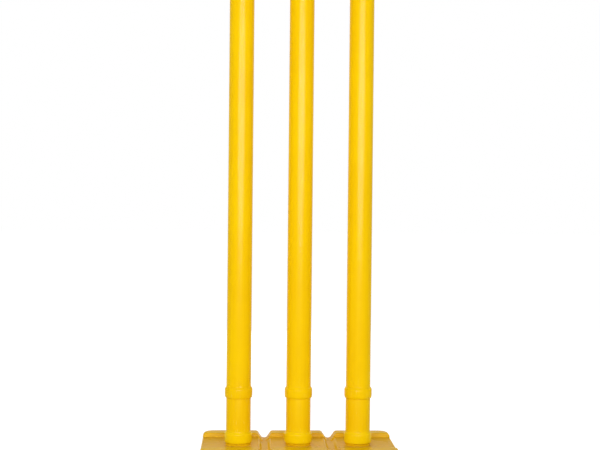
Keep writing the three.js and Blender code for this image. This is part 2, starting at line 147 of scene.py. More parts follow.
class WicketBaseSizes(bpy.types.PropertyGroup):
    bank_height: length("Bank height", "Top of the banks above the ground", 0.032)
    deck_height: length("Deck height", "Sunk decks above the ground", 0.026)
    outer_round: length("Outer rounding", "Radius of the outer edge of the banks", 0.005)
    corner_round: length("Corner rounding", "Radius of the corners seen from above", 0.016)
    wall_draft: length("Wall draft", "How far the outer walls lean in", 0.0005)
    bank: length("Bank", "Width of the front and rear banks", 0.0265)
    pad_width: length("Pad width", "Width of the middle pad", 0.076)
    valley_width: length("Valley width", "Width of a valley at the top of the banks", 0.019)
    valley_floor: length("Valley floor", "Width of a valley's floor", 0.007)
    valley_drop: length("Valley drop", "Depth of a valley below the banks", 0.0105)
    valley_edge: length("Valley edge", "Rounding where a valley meets the banks", 0.0035)
    valley_foot: length("Valley foot", "Rounding beside a valley's floor", 0.003)
    valley_lip: share("Valley lip", "Rounding at a valley's ends, as a share of the banks'", 0.5)
    deck_valley: length("Deck valley", "Width of a valley where it crosses the deck", 0.0178)
    deck_ease: length("Deck ease", "Ease of a valley's wall into the deck and the floor", 0.0022)
    deck_end: length("Deck end", "Rounding of the deck's ends", 0.0012)
    lip_height: length("Lip height", "Height of the lips along the deck's edges", 0.0005)
    lip_width: length("Lip width", "Half width of those lips", 0.0011)
    deck_lean: length("Deck lean", "How far the deck walls lean in", 0.0012)
    deck_foot: length("Deck foot", "Rounding at the foot and the edge of the deck walls", 0.0015)
    wall: length("Wall", "Wall of the base at its foot", 0.003)
    skirt_round: length("Skirt rounding", "Rounding of the bottom edge and of the feet", 0.0006)
    recess: length("Recess", "Depth of the recess for the floor plate", 0.0042)
    boss_fillet: length("Boss fillet", "Fillet round the foot of each boss", 0.0009)
    flange: length("Flange", "Diameter of the flange at the foot of each boss", 0.036)
    flange_height: length("Flange height", "Height of that flange above the deck", 0.0029)
    flange_edge: length("Flange edge", "Rounding of that flange", 0.0006)
    boss_sink: length("Boss sink", "How far a boss's foot goes into the deck", 0.0001)


class WicketTopSizes(bpy.types.PropertyGroup):
    cap_rim: length("Cap rim", "Straight side of the cap", 0.003)
    cap_plug_wall: length("Plug wall", "Wall of the cap's plug", 0.002)
    cap_edge: length("Cap edge", "Rounding of the cap's edges", 0.0006)
    groove_width: length("Groove width", "Width of the bail groove", 0.008)
    groove_depth: length("Groove depth", "Depth of the bail groove", 0.007)
    groove_foot: length("Groove foot", "Rounding beside the groove's floor", 0.0008)
    crown_wall: length("Crown wall", "Wall under the groove", 0.003)
    bail_spigot: length("Bail spigot", "Diameter of a bail's ends", 0.0066)
    bail_waist: length("Bail waist", "Diameter of a bail's waist", 0.0104)
    bail_play: length("Bail play", "Gap from a bail's barrel to each stump", 0.00215)
    bail_tip: length("Bail tip", "Rounding of a bail's ends", 0.0014)
    seam_height: length("Seam height", "Height of the moulding seam on a bail", 0.00008)
    seam_width: length("Seam width", "Width of the moulding seam on a bail", 0.0005)


class WicketColours(bpy.types.PropertyGroup):
    tube: tint("Tube", "Yellow of the tubes", (0.915, 0.580, 0.0012))
    tube_deep: tint("Tube, deep", "Darker yellow of the tubes", (0.875, 0.520, 0.0012))
    # Paler yellow painted on the tubes' feet: painted light that brightens the collars where the
    # base shades them
    foot: tint("Tube foot", "Paler yellow at the foot of the tubes", (0.93, 0.68, 0.003))
    base: tint("Base", "Yellow of the base", (0.82, 0.505, 0.003))
    base_deep: tint("Base, deep", "Darker yellow of the base", (0.755, 0.445, 0.003))
    # Tan of dirt on the rubber and the floor plate; on the decks' up-facing low ground it is also a
    # painted reflection
    dust_and_sheen: tint("Dust", "Fine dust on the decks", (0.71, 0.388, 0.048))
    scuff: tint("Scuff", "Pale rub marks", (0.93, 0.66, 0.16))
    rubber: tint("Rubber", "Black of the feet", (0.022, 0.022, 0.024))
    zinc: tint("Zinc", "Plating of the screws", (0.62, 0.63, 0.65))
    zinc_deep: tint("Zinc, deep", "Darker spangle of that plating", (0.45, 0.46, 0.49))


class WicketStudio(bpy.types.PropertyGroup):
    camera_x: number("Camera X", "Camera place along the row", -0.0735, unit="LENGTH")
    camera_y: number("Camera Y", "Camera place in front of the row", -1.696, unit="LENGTH")
    camera_z: length("Camera height", "Camera height above the ground", 0.3648)
    camera_yaw: angle("Yaw", "Turn of the camera to the right", 2.476)
    camera_pitch: angle("Pitch", "Tilt of the camera towards the ground", 0.87)
    camera_roll: angle("Roll", "Roll of the camera", 0.572)
    focal_length: number("Focal length", "Lens in millimetres on a 36 mm sensor", 71.5, min=1)
    floor_size: length("Floor size", "Side of the square floor", 30.0)
    floor_white: share("Floor white", "White of the floor that the light meets", 0.85)
    floor_lit: share("Floor lit", "Lit part of the floor that is seen, for the shadow", 0.50)
    floor_glow: share("Floor glow", "Glow added to the floor that is seen", 0.74)
    fill: number("Fill", "Strength of the even light from all round", 0.39, min=0)
    depth_fill: number("Depth fill", "Strength gained to the front and the back", 0.42, min=0)
    key: number("Key", "Brightness of the panel that lights the front", 2.28, min=0)
    back: number("Back", "Brightness of the panel that lights the back", 1.4, min=0)
    key_panel: panel_place("Key panel", "key and back panels", (-1.26, 0.72, 0.02, 1.45, 1.80))
    gloss: number("Gloss", "Brightness of the panel that shows in the gloss", 42.0, min=0)
    gloss_panel: panel_place("Gloss panel", "gloss panel", (-0.95, 1.05, 0.24, 1.06, 1.80))


# Meshes as whole arrays

def arc(centre, radii, start, stop, steps):
    """Part of an ellipse: centre plus radii times (cosine, sine), between two quarter turns."""
    turns = np.linspace(start, stop, steps + 1) * QUARTER
    return np.column_stack((centre[0] + radii[0] * np.cos(turns),
                            centre[1] + radii[1] * np.sin(turns)))


def bend(start, control, stop, steps):
    """Quadratic curve: the three points weighted by (1-t) squared, 2t(1-t) and t squared."""
    t = np.linspace(0, 1, steps + 1)[:, None]
    weights = ((1 - t) ** 2, 2 * t * (1 - t), t ** 2)
    return sum(w * np.array(point) for w, point in zip(weights, (start, control, stop)))


def swell(start, stop, steps):
    """Step between two (radius, height) points: even in height, half a wave in radius."""
    t = np.linspace(0, 1, steps + 1)
    wave = (1 - np.cos(np.pi * t)) / 2
    radius = start[0] + (stop[0] - start[0]) * wave
    return np.column_stack((radius, start[1] + (stop[1] - start[1]) * t))


def profile_of(*pieces):
    """One list of points from single points and arrays, with repeated points left out."""
    points = np.vstack([np.atleast_2d(np.asarray(piece, float)) for piece in pieces])
    step = np.linalg.norm(np.diff(points, axis=0), axis=1)
    return points[np.append(True, step > SAME_POINT)]


def grid_quads(rows, columns, wrap_rows=False, wrap_columns=False, offset=0):
    """Four-cornered faces of a grid of points whose index is row times columns plus column."""
    row = np.arange(rows if wrap_rows else rows - 1)[:, None]
    column = np.arange(columns if wrap_columns else columns - 1)[None, :]
    next_row = (row + 1) % rows
    next_column = (column + 1) % columns
    corners = (row * columns + column, row * columns + next_column,
               next_row * columns + next_column, next_row * columns + column)
    return np.stack(corners, -1).reshape(-1, 4) + offset


def walled(points, faces, loop, strip):
    """Adds walls below a loop that runs anticlockwise from above.

    A row of faces joins the loop to the first ring of the strip, and a lid closes the last."""
    n = len(loop)
    ring = len(points) + np.arange(n)
    following = np.roll(np.arange(n), -1)
    join = np.column_stack((loop[following], loop, ring, ring[following]))
    rows = grid_quads(len(strip), n, False, True, len(points))[:, ::-1]
    lid = (ring + (len(strip) - 1) * n)[None, ::-1]
    return np.vstack((points, strip.reshape(-1, 3))), [*faces, join, rows, lid]


def fan(pole, corners, following):
    """Triangles from a pole to each pair of corners."""
    return np.column_stack((np.full(len(corners), pole), corners, following))


def turned(profile, segments, ridge=None):
    """Each (radius, height) of a profile goes round the Z axis. Ridge adds to the radius."""
    turn = np.arange(segments) * (2 * np.pi / segments)
    radius, height = profile[:, :1], profile[:, 1:]
    if ridge is not None:
        radius = radius + ridge(turn, radius)
    rings = np.stack((radius * np.cos(turn), radius * np.sin(turn), height + 0 * turn), -1)
    return rings.reshape(-1, 3)


def turned_loop(profile, segments):
    """Turned body whose profile is closed and stays clear of the axis."""
    return turned(profile, segments), [grid_quads(len(profile), segments, True, True)]


def turned_solid(profile, segments, ridge=None):
    """Turned body whose profile runs from the axis to the axis, where its ends are poles."""
    poles = np.array([(0, 0, profile[0, 1]), (0, 0, profile[-1, 1])])
    points = np.vstack((turned(profile[1:-1], segments, ridge), poles))
    count = len(profile) - 2
    last = count * segments
    around = np.arange(segments)
    following = (around + 1) % segments
    top = (count - 1) * segments
    return points, [grid_quads(count, segments, False, True), fan(last, following, around),
                    fan(last + 1, top + around, top + following)]


def joined(*bodies):
    """Several (points, faces) bodies in one: face numbers move past the earlier points."""
    points, faces, count = [], [], 0
    for body_points, body_faces in bodies:
        points.append(body_points)
        faces.extend(group + count for group in body_faces)
        count += len(body_points)
    return np.vstack(points), faces


def placed(body, node, height=0):
    """Moves a body made round the Z axis to a node's middle seen from above, at a height."""
    points, faces = body
    x, y, _ = middle_of(node)
    return points + (x, y, height), faces


def enclosed_volume(points, faces):
    """Sum over triangles of corner . (corner x corner) / 6: positive where faces point out."""
    total = 0.0
    for group in faces:
        first = points[group[:, 0]]
        for k in range(1, group.shape[1] - 1):
            cross = np.cross(points[group[:, k]], points[group[:, k + 1]])
            total += np.einsum("ij,ij->", first, cross) / 6
    return total


def new_object(name, data):
    made = bpy.data.objects.new(name, data)
    bpy.context.scene.collection.objects.link(made)
    return made


def make_piece(name, body, rides_on, material, replaced):
    """Puts a (points, faces) body into a smooth mesh whose faces point out, for the frame."""
    points, faces = body
    if enclosed_volume(points, faces) < 0:
        faces = [group[:, ::-1] for group in faces]
    mesh = bpy.data.meshes.new(name)
    mesh.from_pydata(points.tolist(), [], [face for group in faces for face in group.tolist()])
    if mesh.validate():
        raise RuntimeError(f"{name} has a broken face")
    mesh.shade_smooth()
    mesh.set_sharp_from_angle(angle=SHARP_ANGLE)
    mesh.materials.append(material)
    piece = new_object(name, mesh)
    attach(piece, rides_on)
    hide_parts(*replaced)


# Tubes

def bell_outside(bottom, sizes, seat_radius, bell_radius, tube_radius, mouth_round):
    """Mouth edge, rounded foot, straight belt, and a half-wave shoulder back to the plain tube."""
    land = seat_radius + sizes.mouth_land
    belt = bottom + mouth_round
    shoulder = bottom + sizes.bell_length - sizes.bell_round
    return profile_of(
        (seat_radius, bottom),
        arc((land, belt), (bell_radius - land, mouth_round), -1, 0, steps=10),
        swell((bell_radius, shoulder), (tube_radius, bottom + sizes.bell_length), steps=12))


def tube_radii(sizes):
    """Tube, bore, bell seat and spigot radii, from the cap's width and the wall and gap."""
    tube = half_of("middle_stump_cap")[0]
    bore = tube - sizes.wall
    return tube, bore, tube + sizes.gap, bore - sizes.gap


def socket_tube(side, sizes):
    """Short tube: bell, plain wall, shoulder and tapered spigot outside, stepped bore inside."""
    node = f"{side}_socket_tube"
    low, high = box_of(node)
    tube, bore, seat, spigot = tube_radii(sizes)
    bell, edge = half_of(node)[0], sizes.edge_round
    top = high[2]
    shoulder = top - sizes.spigot_length
    spigot_bore = spigot - sizes.wall
    seat_top = low[2] + sizes.bell_depth + sizes.gap
    profile = profile_of(
        bell_outside(low[2], sizes, seat, bell, tube, sizes.foot_round),
        arc((tube - edge, shoulder - edge), (edge, edge), 0, 1, steps=4),
        (spigot, shoulder),
        swell((spigot, top - sizes.spigot_lead), (spigot - sizes.wall / 2, top), steps=6),
        (spigot_bore, top),
        (spigot_bore, shoulder - sizes.wall),
        (bore, shoulder - 2 * sizes.wall),
        (bore, seat_top),
        (seat, seat_top))
    return placed(turned_loop(profile, TUBE_SEGMENTS), node)


def stump_tube(side, sizes):
    """Long tube: bell at the foot, plain wall up to a cut and softened end, and the bore inside."""
    node = f"{side}_stump_tube"
    low, high = box_of(node)
    tube, bore, seat, _ = tube_radii(sizes)
    bell = half_of(node)[0]
    seat_top = low[2] + sizes.bell_depth + sizes.gap
    edge = sizes.edge_round
    plain = np.linspace(low[2] + sizes.bell_length, high[2] - edge, 40)[1:-1]
    profile = profile_of(
        bell_outside(low[2], sizes, seat, bell, tube, sizes.bell_round),
        np.column_stack((np.full(len(plain), tube), plain)),
        arc((tube - edge, high[2] - edge), (edge, edge), 0, 1, steps=4),
        (bore, high[2]),
        (bore, seat_top),
        (seat, seat_top))
    return placed(turned_loop(profile, TUBE_SEGMENTS), node)


# Caps

def stump_cap(side, sizes, tubes):
    """Dome with a groove over a rim and a plug: rows lie at constant y and follow the circle in x.

    With x = R cos(v) sin(u) and y = R sin(v), the dome is its foot plus rise times cos(u) cos(v).
    Inside the groove's width the height is the lower of the dome and the groove's floor, and
    two rows at the groove's side give the upright wall."""
    node = f"{side}_stump_cap"
    low, high = box_of(node)
    tube, bore, _, _ = tube_radii(tubes)
    plug = bore - tubes.gap
    stump_top = box_of(f"{side}_stump_tube")[1][2]
    domed_from, rim_bottom = stump_top + sizes.cap_rim, stump_top + tubes.gap
    plug_bottom, top = low[2], high[2]
    half_groove = sizes.groove_width / 2
    floor = top - sizes.groove_depth
    edge, foot = sizes.cap_edge, sizes.groove_foot
    rise = top - domed_from
    turns = np.linspace(0, 1, 6) * QUARTER
    inner = np.concatenate((np.linspace(0, half_groove - foot, 4)[1:],
                            half_groove - foot + foot * np.sin(turns[1:])))
    outer = half_groove + edge * (1 - np.cos(turns))
    far_from = np.arcsin(outer[-1] / tube)
    far = tube * np.sin(np.linspace(far_from, QUARTER, 22)[1:-1])
    side_rows = np.concatenate((inner, outer, far))
    in_groove = np.arange(len(side_rows)) < len(inner)
    rows = np.concatenate((-side_rows[::-1], [0], side_rows))
    grooved = np.concatenate((in_groove[::-1], [True], in_groove))
    exit_turn = np.arccos(np.clip((floor - domed_from) / rise, 0, 1))
    u = np.concatenate((np.linspace(0, exit_turn, 22), np.linspace(exit_turn, QUARTER, 7)[1:]))
    u = np.concatenate((-u[:0:-1], u))
    cos_v = np.sqrt(1 - (rows / tube) ** 2)[:, None]
    x = tube * cos_v * np.sin(u)[None, :]
    y = rows[:, None] + 0 * x
    dome = domed_from + rise * cos_v * np.cos(u)[None, :]
    reach = np.clip(np.abs(y) - (half_groove - foot), 0, foot)
    channel = floor + foot - np.sqrt(foot ** 2 - reach ** 2)
    over_edge = np.clip(edge - (np.abs(y) - half_groove), 0, edge)
    above_floor = np.clip((dome - floor) / edge, 0, 1)
    softened = dome - (edge - np.sqrt(edge ** 2 - over_edge ** 2)) * above_floor
    z = np.where(grooved[:, None], np.minimum(dome, channel), softened)
    crown = np.stack((x, y, z), -1)
    row_count, column_count = z.shape
    poles = np.array([(0, -tube, domed_from), (0, tube, domed_from)])
    south = row_count * column_count
    north = south + 1
    columns = np.arange(column_count - 1)
    last_row = columns + (row_count - 1) * column_count
    faces = [grid_quads(row_count, column_count), fan(south, columns + 1, columns),
             fan(north, last_row, last_row + 1)]
    first_column = np.arange(row_count) * column_count
    loop = np.concatenate(([south], first_column + column_count - 1, [north], first_column[::-1]))
    points = np.vstack((crown.reshape(-1, 3), poles))
    out = points[loop][:, :2] / tube
    chamfer = edge / 2
    plug_bore = plug - sizes.cap_plug_wall
    ladder = profile_of(
        (tube, rim_bottom + chamfer),
        arc((tube - chamfer, rim_bottom + chamfer), (chamfer, chamfer), 0, -1, steps=4),
        (plug, rim_bottom),
        (plug, plug_bottom + chamfer),
        arc((plug - chamfer, plug_bottom + chamfer), (chamfer, chamfer), 0, -1, steps=3),
        (plug_bore, plug_bottom),
        (plug_bore, floor - sizes.crown_wall))
    heights = ladder[:, None, 1:] + 0 * out[None, :, :1]
    strip = np.concatenate((out[None] * ladder[:, None, :1], heights), -1)
    return placed(walled(points, faces, loop, strip), node)


# Bails

def bail(side, sizes):
    """Turned bail along X: tips, spigots and a waisted barrel joined by half waves, with a seam.

    The seam adds height times exp(-(arc distance / width) squared) at the top and the bottom."""
    node = f"{side}_bail"
    low, high = box_of(node)
    centre = middle_of(node)
    inward = 1 if side == "left" else -1
    stumps = sorted((middle_of(f"{side}_stump_tube")[0], middle_of("middle_stump_tube")[0]))
    middle = sum(stumps) / 2
    spigot, waist = sizes.bail_spigot / 2 - sizes.seam_height, sizes.bail_waist / 2
    barrel = half_of(node)[1] - sizes.seam_height
    reach = (stumps[1] - stumps[0]) / 2 - half_of("middle_stump_cap")[0] - sizes.bail_play
    ends = sorted(((low[0] - middle) * inward, (high[0] - middle) * inward))
    tip = sizes.bail_tip
    neck = (waist - spigot) / 2
    third = reach / 3
    half = profile_of(
        swell((waist, 0), (barrel, third), steps=12),
        swell((barrel, reach - third), (waist, reach - neck), steps=12),
        swell((waist, reach - neck), (spigot, reach + neck), steps=8))
    profile = profile_of(
        (0, ends[0]),
        arc((spigot - tip, ends[0] + tip), (tip, tip), -1, 0, steps=6),
        half[::-1] * (1, -1),
        half,
        arc((spigot - tip, ends[1] - tip), (tip, tip), 0, 1, steps=6),
        (0, ends[1]))

    def seam(turn, radius):
        """Height added near the seam lines, at a quarter and three quarters of the turn."""
        distance = np.abs(np.mod(turn, np.pi) - QUARTER) * radius
        return sizes.seam_height * np.exp(-(distance / sizes.seam_width) ** 2) * (radius > tip)

    points, faces = turned_solid(profile, 2 * TUBE_SEGMENTS, seam)
    along = points[:, [2, 0, 1]] * (inward, 1, 1)
    return along + (middle, centre[1], centre[2]), faces


# Base

def line_set(values, lowest, highest):
    """Sorted grid lines: those given inside the range, and others where they lie far apart."""
    lines = np.unique(np.round(np.concatenate(values), GRID_DECIMALS))
    lines = lines[(lines >= lowest - GRID_SLACK) & (lines <= highest + GRID_SLACK)]
    lines = lines[np.append(True, np.diff(lines) > CLOSEST_LINES)]
    steps = np.maximum(np.ceil(np.diff(lines) / WIDEST_LINES).astype(int), 1)
    filled = [np.linspace(a, b, n, endpoint=False) for a, b, n in zip(lines[:-1], lines[1:], steps)]
    return np.append(np.concatenate(filled), lines[-1])


def corner_turned(x, y, centre, signs, reach):
    """Grid lines bent round a corner, with m the larger of the two distances from its centre.

    A point goes to the circle of radius m, at an angle that runs evenly with the smaller
    distance over the larger."""
    a, b = (x - centre[0]) * signs[0], (y - centre[1]) * signs[1]
    inside = (a >= 0) & (b >= 0) & (a <= reach) & (b <= reach)
    m = np.maximum(np.maximum(a, b), NOT_ZERO)
    ratio = np.minimum(a, b) / m
    angle = np.where(a >= b, ratio, 2 - ratio) * np.pi / 4
    new_x = np.where(inside, centre[0] + m * np.cos(angle) * signs[0], x)
    new_y = np.where(inside, centre[1] + m * np.sin(angle) * signs[1], y)
    return new_x, new_y


def edge_inset(x, y, straight, radius):
    """Distance inwards from the outline of a rectangle, with the corners' centres at straight."""
    qx, qy = np.abs(x) - straight[0], np.abs(y) - straight[1]
    outside = np.hypot(np.maximum(qx, 0), np.maximum(qy, 0))
    return radius - outside - np.minimum(np.maximum(qx, qy), 0)


def valley_section(sizes):
    """(offset, height) from a valley's middle: round floor, sloping wall, round shoulder."""
    floor = sizes.bank_height - sizes.valley_drop
    foot_x, top_x = sizes.valley_floor / 2, sizes.valley_width / 2
    wall_foot = (foot_x + sizes.valley_foot / 2, floor + sizes.valley_foot)
    wall_top = (top_x - sizes.valley_edge / 2, sizes.bank_height - sizes.valley_edge)
    return profile_of(
        bend((0, floor), (foot_x, floor), wall_foot, steps=9),
        bend(wall_top, (top_x, sizes.bank_height),
             (top_x + sizes.valley_edge, sizes.bank_height), steps=9))


def deck_valley_section(sizes):
    """(offset, height) of a valley across the deck: a cubic from the floor's side to the deck.

    The four control points are weighted by the cubic Bernstein polynomials."""
    floor = sizes.bank_height - sizes.valley_drop
    inner, outer = sizes.valley_floor / 2, sizes.deck_valley / 2
    t = np.linspace(0, 1, 19)[:, None]
    controls = ((inner, floor), (inner + sizes.deck_ease, floor),
                (outer - sizes.deck_ease, sizes.deck_height), (outer, sizes.deck_height))
    weights = ((1 - t) ** 3, 3 * t * (1 - t) ** 2, 3 * t ** 2 * (1 - t), t ** 3)
    return sum(w * np.array(point) for w, point in zip(weights, controls))


def bank_section(sizes):
    """(distance, height) across a bank's inner wall: round foot, leaning wall, round edge."""
    foot, lean = sizes.deck_foot, sizes.deck_lean
    turns = np.linspace(0, 1, 7) * QUARTER
    lower = np.column_stack((-lean - foot + foot * np.sin(turns),
                             sizes.deck_height + foot * (1 - np.cos(turns))))
    upper = np.column_stack((foot * (1 - np.cos(turns)),
                             sizes.bank_height - foot * (1 - np.sin(turns))))
    return profile_of(lower, upper)


def rounded_drop(inset, start, radius):
    """Height that a round edge takes off: radius - root of (radius squared - reach squared)."""
    reach = np.clip(radius + start - inset, 0, radius)
    return radius - np.sqrt(np.maximum(radius ** 2 - reach ** 2, 0))


def hump(distance, width):
    """Half of one plus the cosine within the width on either side, and 0 beyond."""
    return (1 + np.cos(np.pi * np.clip(distance / width, -1, 1))) / 2


def base_skin(sizes):
    """Moulded skin: a height over a grid whose lines follow every edge, with walls below it.

    Across Y the height is the bank's section at the distance from the deck's side. Sunk is 1 on
    the deck and 0 on the banks. The deck's valleys, ends and lips take part in the share sunk,
    the banks' valleys cut through both, and the outer edge is rounded."""
    half_x, half_y = half_of("base_shell")[:2]
    radius, draft, outer_round = sizes.corner_round, sizes.wall_draft, sizes.outer_round
    straight = np.array((half_x - radius, half_y - radius))
    valley, deck_valley = valley_section(sizes), deck_valley_section(sizes)
    bank = bank_section(sizes)
    valley_x = (sizes.pad_width + sizes.valley_width) / 2
    deck_half_y = half_y - draft - sizes.bank
    lip = sizes.lip_width
    lip_offset = sizes.deck_valley / 2 + lip / 2
    lip_inset = draft + sizes.deck_end + lip / 2
    lip_marks = np.linspace(-lip, lip, 7)
    turns = np.linspace(0, 1, 10) * QUARTER
    insets = np.append(draft + outer_round * (1 - np.sin(turns)), radius)
    end_insets = np.concatenate((insets, draft + sizes.deck_end * (1 - np.sin(turns)),
                                 lip_inset + lip_marks))
    x_values = [half_x - end_insets, end_insets - half_x]
    for centre in (-valley_x, valley_x):
        for offsets in (valley[:, 0], deck_valley[:, 0], lip_offset + lip_marks):
            x_values += [centre - offsets, centre + offsets]
    y_values = [half_y - insets, insets - half_y,
                deck_half_y + bank[:, 0], -deck_half_y - bank[:, 0]]
    xs = line_set(x_values, draft - half_x, half_x - draft)
    ys = line_set(y_values, draft - half_y, half_y - draft)
    x, y = np.meshgrid(xs, ys)
    for signs in ((-1, -1), (-1, 1), (1, -1), (1, 1)):
        x, y = corner_turned(x, y, straight * signs, signs, radius)
    inset = edge_inset(x, y, straight, radius)
    offset = np.abs(np.abs(x) - valley_x)
    z = np.interp(np.abs(y) - deck_half_y, bank[:, 0], bank[:, 1])
    sunk = (sizes.bank_height - z) / (sizes.bank_height - sizes.deck_height)
    lips = hump(offset - lip_offset, lip) + hump(half_x - np.abs(x) - lip_inset, lip)
    across_deck = np.interp(offset, deck_valley[:, 0], deck_valley[:, 1]) - sizes.deck_height
    z = z + sunk * (across_deck + sizes.lip_height * lips)
    z = np.minimum(z, np.interp(offset, valley[:, 0], valley[:, 1]))
    lipped = np.clip(1 - (1 - sizes.valley_lip) * (sizes.bank_height - z) / sizes.valley_drop, 0, 1)
    z = z - (1 - sunk) * lipped * rounded_drop(inset, draft, outer_round)
    z = z - sunk * rounded_drop(inset, draft, sizes.deck_end)
    rows, columns = z.shape
    points = np.stack((x, y, z), -1).reshape(-1, 3)
    across, up = np.arange(columns), np.arange(rows)
    loop = np.concatenate((across[:-1], up[:-1] * columns + columns - 1,
                           (rows - 1) * columns + across[:0:-1], up[:0:-1] * columns))
    edge_points = points[loop]
    core = np.clip(edge_points[:, :2], -straight, straight)
    out = edge_points[:, :2] - core
    out = out / np.linalg.norm(out, axis=1, keepdims=True)
    bottom = box_of("base_shell")[0][2]
    soft = sizes.skirt_round
    fall = np.array(WALL_RINGS)[:, None]
    foot_line = bottom + soft
    wall_height = edge_points[:, 2] + (foot_line - edge_points[:, 2]) * fall
    wall_inset = draft * (1 - fall) + 0 * wall_height
    below = profile_of(
        arc((soft, foot_line), (soft, soft), 2, 3, steps=5),
        (sizes.wall + draft - soft / 2, bottom),
        (sizes.wall + draft, bottom + soft / 2),
        (sizes.wall + draft, bottom + sizes.recess))
    all_round = 0 * wall_height[:1]
    strip_inset = np.vstack((wall_inset, below[:, :1] + all_round))[..., None]
    strip_height = np.vstack((wall_height, below[:, 1:] + all_round))[..., None]
    strip = np.concatenate((core[None] + out[None] * (radius - strip_inset), strip_height), -1)
    return walled(points, [grid_quads(rows, columns)], loop, strip)


def boss(sizes, tubes):
    """Stub under a stump: a fillet up to a flange, a neck, a shoulder and a tapered spigot."""
    tube, _, _, spigot = tube_radii(tubes)
    deck, fillet, edge = sizes.deck_height, sizes.boss_fillet, sizes.flange_edge
    flange, flange_top = sizes.flange / 2, deck + sizes.flange_height
    shoulder = box_of("middle_socket_tube")[0][2] + tubes.bell_depth
    top = box_of("base_shell")[1][2]
    lead = tubes.spigot_lead
    profile = profile_of(
        (0, deck - sizes.boss_sink),
        (flange + fillet, deck - sizes.boss_sink),
        arc((flange + fillet, deck + fillet), (fillet, fillet), 3, 2, steps=8),
        arc((flange - edge, flange_top - edge), (edge, edge), 0, 1, steps=4),
        (tube, flange_top),
        (tube, shoulder),
        (spigot, shoulder),
        swell((spigot, top - lead), (spigot - lead / 2, top), steps=6),
        (0, top))
    return turned_solid(profile, TUBE_SEGMENTS)


def rubber_foot(node, sizes):
    """Round foot: flat tread with a shallow ring groove, a soft edge and a straight side."""
    low, high = box_of(node)
    radius = half_of(node)[0]
    soft = sizes.skirt_round
    groove = radius * TREAD_GROOVE
    width = soft * TREAD_HALF_WIDTH
    profile = profile_of(
        (0, 0),
        swell((groove - width, 0), (groove - width / 2, soft), steps=4),
        swell((groove + width / 2, soft), (groove + width, 0), steps=4),
        arc((radius - soft, soft), (soft, soft), 3, 4, steps=5),
        (radius, high[2]),
        (0, high[2]))
    return placed(turned_solid(profile, SMALL_SEGMENTS), node, low[2])


# Shader maths

class Value:
    """A socket in a material's node tree that takes part in Python arithmetic."""

    def __init__(self, tree, socket):
        self.tree = tree
        self.socket = socket

    def __add__(self, other):
        return self.tree.maths("ADD", self, other)

    def __sub__(self, other):
        return self.tree.maths("SUBTRACT", self, other)

    def __rsub__(self, other):
        return self.tree.maths("SUBTRACT", other, self)

    def __mul__(self, other):
        return self.tree.maths("MULTIPLY", self, other)

    __radd__ = __add__
    __rmul__ = __mul__

    def clamped(self):
        return self.tree.add("ShaderNodeClamp", {0: self})


class Tree:
    """Nodes of a material or world. add() makes one from its type, inputs and settings."""

    def __init__(self, owner):
        self.owner = owner
        owner.use_nodes = True
        self.nodes = owner.node_tree.nodes
        self.links = owner.node_tree.links
        self.nodes.clear()

    def connect(self, value, socket):
        if isinstance(value, Value):
            self.links.new(value.socket, socket)
        else:
            socket.default_value = value

    def add(self, kind, inputs, output=0, **settings):
        node = self.nodes.new(kind)
        for name, setting in settings.items():
            setattr(node, name, setting)
        for name, value in inputs.items():
            self.connect(value, node.inputs[name])
        return Value(self, node.outputs[output])

    def maths(self, operation, *values):
        return self.add("ShaderNodeMath", dict(enumerate(values)), operation=operation)

    def coordinates(self, system="Object"):
        return self.add("ShaderNodeTexCoord", {}, output=system)

    def split(self, vector):
        node = self.nodes.new("ShaderNodeSeparateXYZ")
        self.connect(vector, node.inputs[0])
        return [Value(self, socket) for socket in node.outputs]

    def noise(self, scale, detail=2, roughness=0.5, stretch=(1, 1, 1)):
        """Noise over the object's coordinates in metres, each times its share of stretch."""
        spot = self.add("ShaderNodeMapping", {"Vector": self.coordinates(), "Scale": stretch})
        return self.add("ShaderNodeTexNoise", {
            "Vector": spot, "Scale": scale, "Detail": detail, "Roughness": roughness})

    def ramp(self, value, low, high):
        """Smooth step from 0 at low to 1 at high."""
        return self.add("ShaderNodeMapRange", {"Value": value, "From Min": low, "From Max": high},
                        interpolation_type="SMOOTHSTEP")

    def patches(self, low, high, **noise):
        """Noise made into separate marks: 0 where it is under low, and 1 where it is over high."""
        return self.ramp(self.noise(**noise), low, high)

    def mix(self, share_of_second, first, second):
        """Blend of two colours, each of them a socket or three numbers."""
        node = self.nodes.new("ShaderNodeMix")
        node.data_type = "RGBA"
        self.connect(share_of_second, node.inputs["Factor"])
        for colour, socket in ((first, node.inputs[6]), (second, node.inputs[7])):
            self.connect(colour if isinstance(colour, Value) else (*colour, 1.0), socket)
        return Value(self, node.outputs[2])

    def bump(self, height, strength, distance, under=None):
        """Bump from a height, on top of the bump under it where there is one."""
        inputs = {"Height": height, "Strength": strength, "Distance": distance}
        if under is not None:
            inputs["Normal"] = under
        return self.add("ShaderNodeBump", inputs)

    def surface(self, shader, output="ShaderNodeOutputMaterial"):
        self.connect(shader, self.nodes.new(output).inputs["Surface"])

    def finish(self, colour, roughness, normal, specular=0.5, metallic=0.0):
        """The material with a Principled surface. The last two inputs have the node's defaults."""
        self.surface(self.add("ShaderNodeBsdfPrincipled", {
            "Base Color": colour, "Roughness": roughness, "Normal": normal,
            "Specular IOR Level": specular, "Metallic": metallic}))
        return self.owner


def material_tree(name):
    return Tree(bpy.data.materials.new(name))


# Finishes

